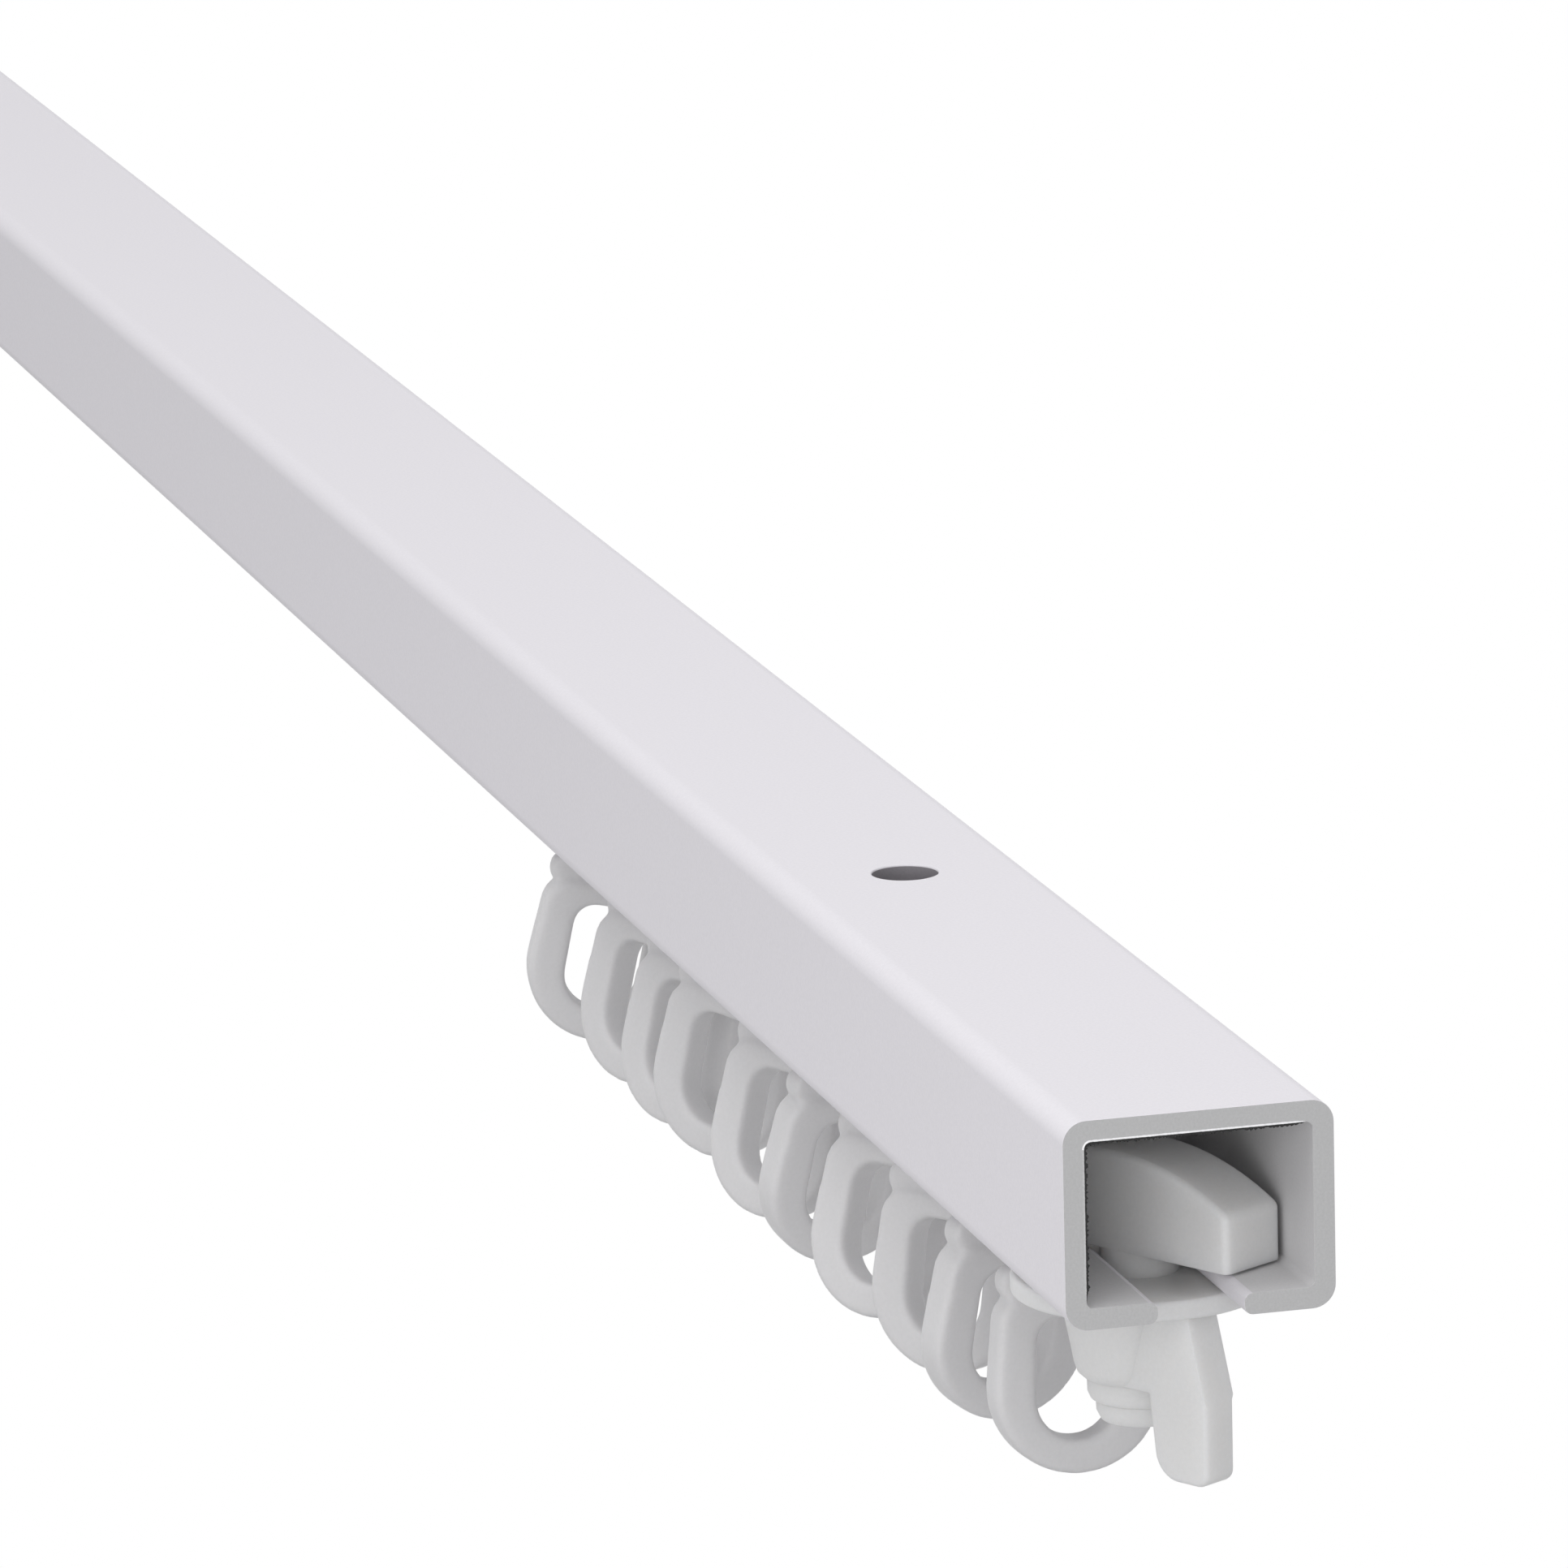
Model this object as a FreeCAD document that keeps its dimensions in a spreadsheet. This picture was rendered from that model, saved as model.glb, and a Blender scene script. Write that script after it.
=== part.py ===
"""Curtain track: an aluminium channel with ten ring gliders in its slot and a twist-in stop at each end.

Frame: +X along the track towards its near end, +Z up, origin at the middle screw hole in the top face.
Every piece that moves has its own zero height at the track's underside.
"""
import FreeCAD, Part
import math
import os

import Sketcher

# Driving dimensions in millimetres and degrees
SIZES = {
    # Track extrusion
    "track_length": 1000,
    "track_width": 16,
    "track_height": 12.24,
    "track_wall": 1.26,
    "outer_corner": 1.38,
    "inner_corner": 0.4,
    "slot_width": 5.12,
    "lip_rounding": 0.5,
    "hole_diameter": 4.14,
    "hole_inset": 61,
    # Running clearances of the gliders in the track
    "head_clearance": 0.2,
    "head_side_room": 3.9,
    "head_over_slot": 0.3,
    # Glider: head and neck in the track
    "head_thickness": 1.8,
    "head_corner": 1.5,
    "neck_diameter": 2,
    # Glider: collar bar under the track
    "collar_drop": 3.3,
    "collar_height": 2,
    "collar_length": 9.5,
    "collar_overlap": 0.3,
    # Glider: ring and its eye
    "ring_height": 10.7,
    "ring_radius": 5.1,
    "ring_top_width": 9.5,
    "ring_depth": 2.5,
    "ring_shoulder": 1.6,
    "eye_top_wall": 1.3,
    "eye_bottom_wall": 1.95,
    "eye_radius": 2.62,
    "eye_corner": 1.5,
    # End stop: place and fits in the track
    "stop_inset": 12,
    "stop_turn": 31,
    "jam_clearance": 0.2,
    "stop_seat": 0.15,
    "stop_slot_room": 0.46,
    # End stop: arched head in the channel
    "stop_tip_height": 3.35,
    "stop_arch_rise": 2.5,
    "stop_head_edge": 0.3,
    # End stop: neck and flange
    "stop_neck_diameter": 4.6,
    "flange_diameter": 15,
    "flange_thickness": 1.2,
    # End stop: stepped hub
    "hub_top_diameter": 9.1,
    "hub_foot_diameter": 6.9,
    "hub_height": 5.05,
    "hub_step_diameter": 5.9,
    "hub_step_height": 1.45,
    "hub_tip_diameter": 5,
    "hub_tip_height": 1.4,
    "hub_tip_edge": 0.8,
    # End stop: finger tab
    "tab_thickness": 2.45,
    "tab_offset": 0.8,
    "tab_root_inner": 4.2,
    "tab_root_outer": 6.4,
    "tab_waist_inner": 3.4,
    "tab_waist_drop": 6.4,
    "tab_foot_inner": 4,
    "tab_kink_outer": 7.97,
    "tab_kink_drop": 6.35,
    "tab_foot_drop": 10.95,
    "tab_outer_corner": 0.6,
    "tab_inner_corner": 2.2,
}

# Where each glider stands: distance from the near end, offset to +Y, turn about the vertical,
# lean across the track and swing along it
GLIDER_PLACES = [
    (24.1, -0.2, 0, -3, -5),
    (33.0, -0.2, -12, -9, 2),
    (45.5, -0.5, 46, -7, -2),
    (57.0, -0.2, 50, -14, -8),
    (67.5, -0.3, -8, -11, 6),
    (81.5, -0.3, 55, -14, -6),
    (95.5, -0.4, 50, -11, 4),
    (106.0, -0.3, 60, -13, -3),
    (116.5, -0.3, 60, -13, 0),
    (128.5, -0.4, 10, -12, 2),
]

SCREW_HOLES = 3
FULL_TURN = 360
# How near two places or sizes, in millimetres, and two volumes, as a share, must be to count as the same
SAME_PLACE = 1e-4
SAME_VOLUME = 0.01

doc = FreeCAD.newDocument("CurtainTrack")
sheet = doc.addObject("Spreadsheet::Sheet", "Sizes")


def add_size(alias, value):
    """Writes one driving dimension into the next row of the sheet."""
    add_size.row += 1
    sheet.set(f"A{add_size.row}", alias)
    sheet.set(f"B{add_size.row}", str(value))
    sheet.setAlias(f"B{add_size.row}", alias)


add_size.row = 0
for alias, value in SIZES.items():
    add_size(alias, value)
for number, place in enumerate(GLIDER_PLACES, 1):
    for word, value in zip(("place", "offset", "turn", "lean", "swing"), place):
        add_size(f"glider_{number:02d}_{word}", value)
doc.recompute()


def size(alias):
    """Value of one cell of the sheet."""
    return float(sheet.get(alias))


def bound(expression):
    """Expression for FreeCAD, with each size name pointing at its cell."""
    words = []
    word = ""
    for letter in expression + " ":
        if letter.isalnum() or letter == "_":
            word += letter
            continue
        words.append(f"Sizes.{word}" if sheet.getCellFromAlias(word) else word)
        words.append(letter)
        word = ""
    return "".join(words).strip()


def new_body(label):
    """Empty body whose label names the piece."""
    body = doc.addObject("PartDesign::Body", label)
    body.Label = label
    return body


def new_sketch(body, name, role, height="0"):
    """Sketch on one of the body's own origin planes, lifted along the plane's normal."""
    sketch = body.newObject("Sketcher::SketchObject", name)
    plane = next(item for item in body.Origin.OriginFeatures if item.Role == role)
    sketch.AttachmentSupport = [(plane, "")]
    sketch.MapMode = "FlatFace"
    sketch.setExpression("AttachmentOffset.Base.z", bound(height))
    return sketch


def value_of(sketch, expression):
    """Number that an expression of sizes gives now."""
    result = sketch.evalExpression(bound(expression))
    return float(getattr(result, "Value", result))


def constrain(sketch, *parts, expression=None):
    """Adds one constraint, tied to an expression where it is a measure."""
    if expression is None:
        return sketch.addConstraint(Sketcher.Constraint(*parts))
    index = sketch.addConstraint(Sketcher.Constraint(*parts, value_of(sketch, expression)))
    sketch.setExpression(f"Constraints[{index}]", bound(expression))
    return index


def polygon(sketch, corners):
    """Closed chain of straight lines through corners given as pairs of expressions."""
    points = [FreeCAD.Vector(value_of(sketch, x), value_of(sketch, y), 0) for x, y in corners]
    first = sketch.GeometryCount
    count = len(points)
    for index, point in enumerate(points):
        sketch.addGeometry(Part.LineSegment(point, points[(index + 1) % count]))
    for index in range(count):
        constrain(sketch, "Coincident", first + index, 2, first + (index + 1) % count, 1)
    for index, (x, y) in enumerate(corners):
        constrain(sketch, "DistanceX", -1, 1, first + index, 1, expression=x)
        constrain(sketch, "DistanceY", -1, 1, first + index, 1, expression=y)


def circle(sketch, diameter, x="0"):
    """Circle of a given diameter, centred on the sketch's horizontal axis."""
    centre = FreeCAD.Vector(value_of(sketch, x), 0, 0)
    index = sketch.addGeometry(Part.Circle(centre, FreeCAD.Vector(0, 0, 1), value_of(sketch, diameter) / 2))
    constrain(sketch, "Diameter", index, expression=diameter)
    constrain(sketch, "DistanceX", -1, 1, index, 3, expression=x)
    constrain(sketch, "PointOnObject", index, 3, -1)


def pad(body, name, sketch, length, midplane=False, length_below=None):
    """Pads a sketch and recomputes the body."""
    feature = body.newObject("PartDesign::Pad", name)
    feature.Profile = (sketch, [""])
    feature.setExpression("Length", bound(length))
    if midplane:
        feature.SideType = "Symmetric"
    if length_below:
        feature.SideType = "Two sides"
        feature.setExpression("Length2", bound(length_below))
    doc.recompute()
    return feature


def edges_at(body, axis, places):
    """Names of the straight edges that run along one axis (0 to 2) through the given places."""
    others = [index for index in range(3) if index != axis]
    names = []
    for number, edge in enumerate(body.Shape.Edges, 1):
        ends = [vertex.Point for vertex in edge.Vertexes]
        if len(ends) != 2:
            continue
        for place in places:
            if all(abs(end[other] - at) < SAME_PLACE for end in ends for other, at in zip(others, place)):
                names.append(f"Edge{number}")
    return names


def side_edges(body, half_width, base):
    """Names of the edges that bound the two sides of the stop's head, apart from those along its base."""
    names = []
    for number, edge in enumerate(body.Shape.Edges, 1):
        box = edge.BoundBox
        on_side = box.YLength < SAME_PLACE and abs(abs(box.Center.y) - half_width) < SAME_PLACE
        if on_side and box.ZMax > base + SAME_PLACE:
            names.append(f"Edge{number}")
    return names


def dress(body, kind, name, edges, size_name):
    """Rounds or chamfers the named edges of the body."""
    base = body.Tip
    feature = body.newObject(f"PartDesign::{kind}", name)
    feature.Base = (base, edges)
    feature.setExpression("Radius" if kind == "Fillet" else "Size", bound(size_name))
    doc.recompute()
    return feature


def make_track():
    """Extruded C channel with rounded corners and lip tips, and three screw holes in its top wall."""
    body = new_body("track_profile")
    profile = new_sketch(body, "TrackSection", "YZ_Plane")
    half, slot = "track_width / 2", "slot_width / 2"
    inner = "track_width / 2 - track_wall"
    floor, ceiling = "track_wall - track_height", "0 - track_wall"
    under = "0 - track_height"
    right = [(slot, under), (half, under), (half, "0")]
    inside = [(inner, ceiling), (inner, floor), (slot, floor)]
    mirror = [(f"0 - ({x})", y) for x, y in reversed(right)]
    mirror_inside = [(f"0 - ({x})", y) for x, y in reversed(inside)]
    polygon(profile, right + mirror + mirror_inside + inside)
    pad(body, "TrackExtrusion", profile, "track_length", midplane=True)

    def corner_edges(across, *heights):
        """Long edges at one distance either side of the middle, at the given heights."""
        y = value_of(profile, across)
        levels = [value_of(profile, height) for height in heights]
        return edges_at(body, 0, [(side, level) for side in (y, -y) for level in levels])

    dress(body, "Fillet", "OuterCorners", corner_edges(half, "0", under), "outer_corner")
    dress(body, "Fillet", "InnerCorners", corner_edges(inner, ceiling, floor), "inner_corner")
    dress(body, "Fillet", "LipTips", corner_edges(slot, under, floor), "lip_rounding")

    solid_volume = body.Shape.Volume
    hole = new_sketch(body, "ScrewHole", "XY_Plane")
    circle(hole, "hole_diameter", "track_length / 2 - hole_inset")
    pocket = body.newObject("PartDesign::Pocket", "ScrewHoleCut")
    pocket.Profile = (hole, [""])
    pocket.setExpression("Length", bound("track_wall"))
    doc.recompute()
    row = body.newObject("PartDesign::LinearPattern", "ScrewHoleRow")
    row.Originals = [pocket]
    row.Direction = (hole, ["H_Axis"])
    row.Reversed = True
    row.setExpression("Length", bound("track_length - 2 * hole_inset"))
    row.Occurrences = SCREW_HOLES
    body.Tip = row
    doc.recompute()
    drilled = SCREW_HOLES * math.pi / 4 * size("hole_diameter") ** 2 * size("track_wall")
    if abs(solid_volume - body.Shape.Volume - drilled) > SAME_VOLUME * drilled:
        raise RuntimeError("the screw holes don't go through the top wall")
    return body


def glider_plate(sketch):
    """Face of a glider: collar bar with round ends, waist, U-shaped ring with tapered sides, and its eye."""
    collar_radius = "collar_height / 2"
    collar_middle = f"0 - collar_drop - {collar_radius}"
    ring_top = "0 - collar_drop - collar_height + collar_overlap"
    shoulder_x, shoulder_y = "ring_top_width / 2 - ring_shoulder", f"{ring_top} - ring_shoulder"
    ring_centre = f"{ring_top} - ring_height + ring_radius"
    lid = (value_of(sketch, f"collar_length / 2 - {collar_radius}"), value_of(sketch, "0 - collar_drop"))
    end = arc_of(sketch, f"collar_length / 2 - {collar_radius}", collar_middle, collar_radius)
    shoulder = arc_of(sketch, shoulder_x, shoulder_y, "ring_shoulder")
    bottom = arc_of(sketch, "0", ring_centre, "ring_radius")
    waist = meeting(end, shoulder)
    side = tangent_points(shoulder, bottom)

    top = line(sketch, (-lid[0], lid[1]), lid)
    right_end = arc(sketch, end, waist, lid)
    right_shoulder = arc(sketch, shoulder, side[0], waist)
    right_side = line(sketch, side[0], side[1])
    base = arc(sketch, bottom, mirrored(side[1]), side[1])
    left_side = line(sketch, mirrored(side[1]), mirrored(side[0]))
    left_shoulder = arc(sketch, mirrored(shoulder), mirrored(waist), mirrored(side[0]))
    left_end = arc(sketch, mirrored(end), mirrored(lid), mirrored(waist))

    constrain(sketch, "Tangent", top, 2, right_end, 2)
    constrain(sketch, "Coincident", right_end, 1, right_shoulder, 2)
    constrain(sketch, "Tangent", right_shoulder, 1, right_side, 1)
    constrain(sketch, "Tangent", right_side, 2, base, 2)
    constrain(sketch, "Tangent", base, 1, left_side, 1)
    constrain(sketch, "Tangent", left_side, 2, left_shoulder, 2)
    constrain(sketch, "Coincident", left_shoulder, 1, left_end, 2)
    constrain(sketch, "Tangent", left_end, 1, top, 1)
    constrain(sketch, "Horizontal", top)
    constrain(sketch, "PointOnObject", base, 3, -2)
    constrain(sketch, "Symmetric", right_end, 3, left_end, 3, -2)
    constrain(sketch, "Symmetric", right_shoulder, 3, left_shoulder, 3, -2)
    constrain(sketch, "Equal", right_shoulder, left_shoulder)
    constrain(sketch, "DistanceX", -1, 1, right_end, 3, expression=f"collar_length / 2 - {collar_radius}")
    constrain(sketch, "DistanceY", -1, 1, right_end, 3, expression=collar_middle)
    constrain(sketch, "Radius", right_end, expression=collar_radius)
    constrain(sketch, "DistanceX", -1, 1, right_shoulder, 3, expression=shoulder_x)
    constrain(sketch, "DistanceY", -1, 1, right_shoulder, 3, expression=shoulder_y)
    constrain(sketch, "Radius", right_shoulder, expression="ring_shoulder")
    constrain(sketch, "DistanceY", -1, 1, base, 3, expression=ring_centre)
    constrain(sketch, "Radius", base, expression="ring_radius")
    eye_loop(sketch, f"{ring_top} - eye_top_wall", f"{ring_top} - ring_height + eye_bottom_wall + eye_radius")


def eye_loop(sketch, top, centre):
    """Eye of the ring: half-round bottom, upright sides and a flat top with round corners."""
    high, low, r, corner = (value_of(sketch, item) for item in (top, centre, "eye_radius", "eye_corner"))
    lid = line(sketch, (corner - r, high), (r - corner, high))
    right_corner = arc(sketch, (r - corner, high - corner, corner), (r, high - corner), (r - corner, high))
    right = line(sketch, (r, high - corner), (r, low))
    base = arc(sketch, (0, low, r), (-r, low), (r, low))
    left = line(sketch, (-r, low), (-r, high - corner))
    left_corner = arc(sketch, (corner - r, high - corner, corner), (corner - r, high), (-r, high - corner))
    constrain(sketch, "Tangent", lid, 2, right_corner, 2)
    constrain(sketch, "Tangent", right_corner, 1, right, 1)
    constrain(sketch, "Tangent", right, 2, base, 2)
    constrain(sketch, "Tangent", base, 1, left, 1)
    constrain(sketch, "Tangent", left, 2, left_corner, 2)
    constrain(sketch, "Tangent", left_corner, 1, lid, 1)
    constrain(sketch, "Horizontal", lid)
    constrain(sketch, "Vertical", right)
    constrain(sketch, "Vertical", left)
    constrain(sketch, "PointOnObject", base, 3, -2)
    constrain(sketch, "Equal", right_corner, left_corner)
    constrain(sketch, "DistanceY", -1, 1, base, 3, expression=centre)
    constrain(sketch, "Radius", base, expression="eye_radius")
    constrain(sketch, "Radius", right_corner, expression="eye_corner")
    constrain(sketch, "DistanceY", -1, 1, lid, 2, expression=top)


def arc_of(sketch, x, y, radius):
    """Centre and radius, as numbers, of an arc whose measures are expressions."""
    return tuple(value_of(sketch, item) for item in (x, y, radius))


def mirrored(place):
    """The same point or arc on the other side of the vertical axis."""
    return (-place[0], *place[1:])


def meeting(upper, lower):
    """Outer point where two circles cross, each given as centre x, centre y and radius."""
    (x, y, r), (x2, y2, r2) = upper, lower
    apart = math.hypot(x2 - x, y2 - y)
    along = (r ** 2 - r2 ** 2 + apart ** 2) / (2 * apart)
    off = math.sqrt(r ** 2 - along ** 2)
    across = ((x2 - x) / apart, (y2 - y) / apart)
    return (x + along * across[0] - off * across[1], y + along * across[1] + off * across[0])


def tangent_points(upper, lower):
    """Where the line on the right of two circles touches the upper and the lower one."""
    (x, y, r), (x2, y2, r2) = upper, lower
    apart = math.hypot(x2 - x, y2 - y)
    angle = math.atan2(y - y2, x - x2) - math.acos((r2 - r) / apart)
    return [(cx + radius * math.cos(angle), cy + radius * math.sin(angle)) for cx, cy, radius in (upper, lower)]


def line(sketch, start, stop):
    """Straight line between two points of a sketch."""
    return sketch.addGeometry(Part.LineSegment(FreeCAD.Vector(*start, 0), FreeCAD.Vector(*stop, 0)))


def arc(sketch, circle_of, start, stop):
    """Arc of a circle, anticlockwise between two points of a sketch."""
    x, y, radius = circle_of
    whole = Part.Circle(FreeCAD.Vector(x, y, 0), FreeCAD.Vector(0, 0, 1), radius)
    first = math.atan2(start[1] - y, start[0] - x)
    last = math.atan2(stop[1] - y, stop[0] - x)
    if last <= first:
        last += 2 * math.pi
    return sketch.addGeometry(Part.ArcOfCircle(whole, first, last))


def make_glider(number):
    """One-piece glider: ring with an eye, collar bar, neck through the slot and oblong head in the channel."""
    body = new_body(f"glider_{number:02d}")
    plate = new_sketch(body, f"PlateOutline{number}", "YZ_Plane")
    glider_plate(plate)
    pad(body, f"Plate{number}", plate, "ring_depth", midplane=True)

    neck = new_sketch(body, f"NeckCircle{number}", "XY_Plane")
    circle(neck, "neck_diameter")
    pad(body, f"Neck{number}", neck, "track_wall + head_clearance + head_thickness / 2",
        length_below="collar_drop + collar_height / 2")

    head = new_sketch(body, f"HeadOutline{number}", "XY_Plane", "track_wall + head_clearance")
    along = "(slot_width + head_over_slot) / 2"
    across = "(track_width - 2 * track_wall - head_side_room) / 2"
    polygon(head, [(along, across), (f"0 - {along}", across), (f"0 - {along}", f"0 - {across}"),
                   (along, f"0 - {across}")])
    pad(body, f"Head{number}", head, "head_thickness")
    x, y = value_of(head, along), value_of(head, across)
    upright = edges_at(body, 2, [(x, y), (-x, y), (x, -y), (-x, -y)])
    dress(body, "Fillet", f"HeadCorners{number}", upright, "head_corner")
    place_glider(body, f"glider_{number:02d}", along, across)
    return body


def place_glider(body, name, along, across):
    """Stands a glider in the slot, turned, leaning and swung about the head, which rests on the lips."""
    turn = f"rotationz(0 - {name}_turn)"
    pose = f"rotationy({name}_swing) * rotationx({name}_lean) * {turn}"
    tilt_x = f"(cos({name}_turn) * sin(0 - {name}_swing) - sin({name}_turn) * sin({name}_lean) * cos({name}_swing))"
    tilt_y = f"(sin({name}_turn) * sin(0 - {name}_swing) + cos({name}_turn) * sin({name}_lean) * cos({name}_swing))"
    lift = (f"(({along}) - head_corner) * abs({tilt_x}) + (({across}) - head_corner) * abs({tilt_y})"
            f" + head_corner * hypot({tilt_x}; {tilt_y})")
    pivot = "(track_wall + head_clearance)"
    base = (f"vector(track_length / 2 - {name}_place; {name}_offset;"
            f" 0 - track_height + {pivot} + {lift})")
    local = f"vector(0; 0; 0 - {pivot})"
    body.setExpression("Placement", bound(f"placement({base}; {pose}) * placement({local}; rotationz(0))"))


def make_stop(label, side):
    """Twist-in end stop: arched head across the channel, neck, flange, stepped hub and finger tab."""
    body = new_body(label)
    turned = new_sketch(body, f"{label}_turning", "XZ_Plane")
    flange_top = "0 - stop_seat"
    hub_root = f"{flange_top} - flange_thickness"
    hub_foot = f"{hub_root} - hub_height"
    step_foot = f"{hub_foot} - hub_step_height"
    tip_foot = f"{step_foot} - hub_tip_height"
    neck_top = "track_wall + head_clearance + stop_tip_height / 2"
    polygon(turned, [
        ("0", neck_top), ("stop_neck_diameter / 2", neck_top), ("stop_neck_diameter / 2", flange_top),
        ("flange_diameter / 2", flange_top), ("flange_diameter / 2", hub_root),
        ("hub_top_diameter / 2", hub_root), ("hub_foot_diameter / 2", hub_foot),
        ("hub_step_diameter / 2", hub_foot),
        ("hub_step_diameter / 2", step_foot), ("hub_tip_diameter / 2", step_foot),
        ("hub_tip_diameter / 2", f"{tip_foot} + hub_tip_edge"),
        ("hub_tip_diameter / 2 - hub_tip_edge", tip_foot), ("0", tip_foot)])
    revolution = body.newObject("PartDesign::Revolution", f"{label}_hub")
    revolution.Profile = (turned, [""])
    revolution.ReferenceAxis = (turned, ["V_Axis"])
    revolution.Angle = FULL_TURN
    doc.recompute()

    head = new_sketch(body, f"{label}_arch", "XZ_Plane")
    width = "(slot_width - stop_slot_room)"
    reach = f"(track_width / 2 - track_wall - jam_clearance - {width} / 2 * cos(stop_turn)) / sin(stop_turn)"
    arch_outline(head, reach, "track_wall + head_clearance", "stop_tip_height", "stop_arch_rise")
    pad(body, f"{label}_head", head, width, midplane=True)
    half = value_of(head, width) / 2
    base = value_of(head, "track_wall + head_clearance")
    dress(body, "Chamfer", f"{label}_head_edges", side_edges(body, half, base), "stop_head_edge")

    tab = new_sketch(body, f"{label}_tab_outline", "XZ_Plane", "tab_offset")
    polygon(tab, [
        ("tab_root_inner", f"{flange_top} - flange_thickness / 2"),
        ("tab_root_outer", f"{flange_top} - flange_thickness / 2"),
        ("tab_kink_outer", "0 - tab_kink_drop"), ("tab_kink_outer", "0 - tab_foot_drop"),
        ("tab_foot_inner", "0 - tab_foot_drop"), ("tab_waist_inner", "0 - tab_waist_drop")])
    pad(body, f"{label}_tab", tab, "tab_thickness")
    foot = -size("tab_foot_drop")
    outer = edges_at(body, 1, [(size("tab_kink_outer"), foot)])
    dress(body, "Fillet", f"{label}_tab_outer", outer, "tab_outer_corner")
    inner = edges_at(body, 1, [(size("tab_foot_inner"), foot)])
    dress(body, "Fillet", f"{label}_tab_inner", inner, "tab_inner_corner")

    turn = "stop_turn" if side > 0 else "stop_turn + 180"
    base = f"vector({side} * (track_length / 2 - stop_inset); 0; 0 - track_height)"
    body.setExpression("Placement", bound(f"placement({base}; rotationz({turn}))"))
    return body


def arch_outline(sketch, half_length, base, tip_height, rise):
    """Bar seen from the side: flat base, upright ends and a top that arches over the middle."""
    half, low, tip, sag = (value_of(sketch, item) for item in (half_length, base, tip_height, rise))
    radius = (half ** 2 + sag ** 2) / (2 * sag)
    spread = math.asin(half / radius)
    bottom = sketch.addGeometry(Part.LineSegment(FreeCAD.Vector(-half, low, 0), FreeCAD.Vector(half, low, 0)))
    right = sketch.addGeometry(Part.LineSegment(FreeCAD.Vector(half, low, 0), FreeCAD.Vector(half, low + tip, 0)))
    crown = Part.Circle(FreeCAD.Vector(0, low + tip + sag - radius, 0), FreeCAD.Vector(0, 0, 1), radius)
    top = sketch.addGeometry(Part.ArcOfCircle(crown, math.pi / 2 - spread, math.pi / 2 + spread))
    left = sketch.addGeometry(Part.LineSegment(FreeCAD.Vector(-half, low + tip, 0), FreeCAD.Vector(-half, low, 0)))
    constrain(sketch, "Coincident", bottom, 2, right, 1)
    constrain(sketch, "Coincident", right, 2, top, 1)
    constrain(sketch, "Coincident", top, 2, left, 1)
    constrain(sketch, "Coincident", left, 2, bottom, 1)
    constrain(sketch, "Symmetric", bottom, 1, bottom, 2, -2)
    constrain(sketch, "Vertical", right)
    constrain(sketch, "Vertical", left)
    constrain(sketch, "PointOnObject", top, 3, -2)
    constrain(sketch, "DistanceX", -1, 1, bottom, 2, expression=half_length)
    constrain(sketch, "DistanceY", -1, 1, bottom, 2, expression=base)
    constrain(sketch, "DistanceY", right, 1, right, 2, expression=tip_height)
    constrain(sketch, "Radius", top, expression=f"(({half_length}) ^ 2 + {rise} ^ 2) / (2 * {rise})")


pieces = [make_track(), make_stop("near_end_stop", 1), make_stop("far_end_stop", -1)]
for number in range(1, len(GLIDER_PLACES) + 1):
    pieces.append(make_glider(number))
doc.recompute()

for item in doc.Objects:
    if "Invalid" in item.State or "Error" in item.State:
        raise RuntimeError(f"{item.Name} failed: {item.State}")
for piece in pieces:
    if piece.Shape.isNull() or not piece.Shape.isValid() or len(piece.Shape.Solids) != 1:
        raise RuntimeError(f"{piece.Label} isn't one valid solid")

os.makedirs("parts", exist_ok=True)
for piece in pieces:
    piece.Shape.exportStep(f"parts/{piece.Label}.step")
    print(piece.Label, round(piece.Shape.Volume, 2), "mm3")
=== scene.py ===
"""Curtain track: a white aluminium channel, ten plastic ring gliders in its slot and a stop at each end."""

import bmesh
import bpy
import math
import random
from mathutils import Matrix, Vector


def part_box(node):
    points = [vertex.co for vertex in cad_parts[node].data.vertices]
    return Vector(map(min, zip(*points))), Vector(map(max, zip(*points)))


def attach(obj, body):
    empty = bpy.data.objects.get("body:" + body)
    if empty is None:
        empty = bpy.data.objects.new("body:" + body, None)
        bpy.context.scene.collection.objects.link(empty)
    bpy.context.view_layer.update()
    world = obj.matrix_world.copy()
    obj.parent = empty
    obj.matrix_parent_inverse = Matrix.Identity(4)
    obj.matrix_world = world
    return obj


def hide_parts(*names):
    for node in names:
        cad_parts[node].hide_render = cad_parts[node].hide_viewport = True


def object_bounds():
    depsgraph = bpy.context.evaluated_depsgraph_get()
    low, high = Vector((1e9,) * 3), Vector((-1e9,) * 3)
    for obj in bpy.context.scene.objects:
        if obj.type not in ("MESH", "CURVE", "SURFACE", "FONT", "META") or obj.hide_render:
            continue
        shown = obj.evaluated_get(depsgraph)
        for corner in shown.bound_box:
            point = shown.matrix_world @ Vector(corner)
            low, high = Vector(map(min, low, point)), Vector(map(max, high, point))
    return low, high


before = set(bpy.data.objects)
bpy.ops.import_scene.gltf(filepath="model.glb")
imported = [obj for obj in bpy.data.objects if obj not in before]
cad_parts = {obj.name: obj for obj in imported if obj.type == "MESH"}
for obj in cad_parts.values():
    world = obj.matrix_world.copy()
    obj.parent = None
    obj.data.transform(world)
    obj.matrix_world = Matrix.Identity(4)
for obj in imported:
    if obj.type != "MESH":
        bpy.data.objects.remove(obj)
cad_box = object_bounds()
mm = 0.001

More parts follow.
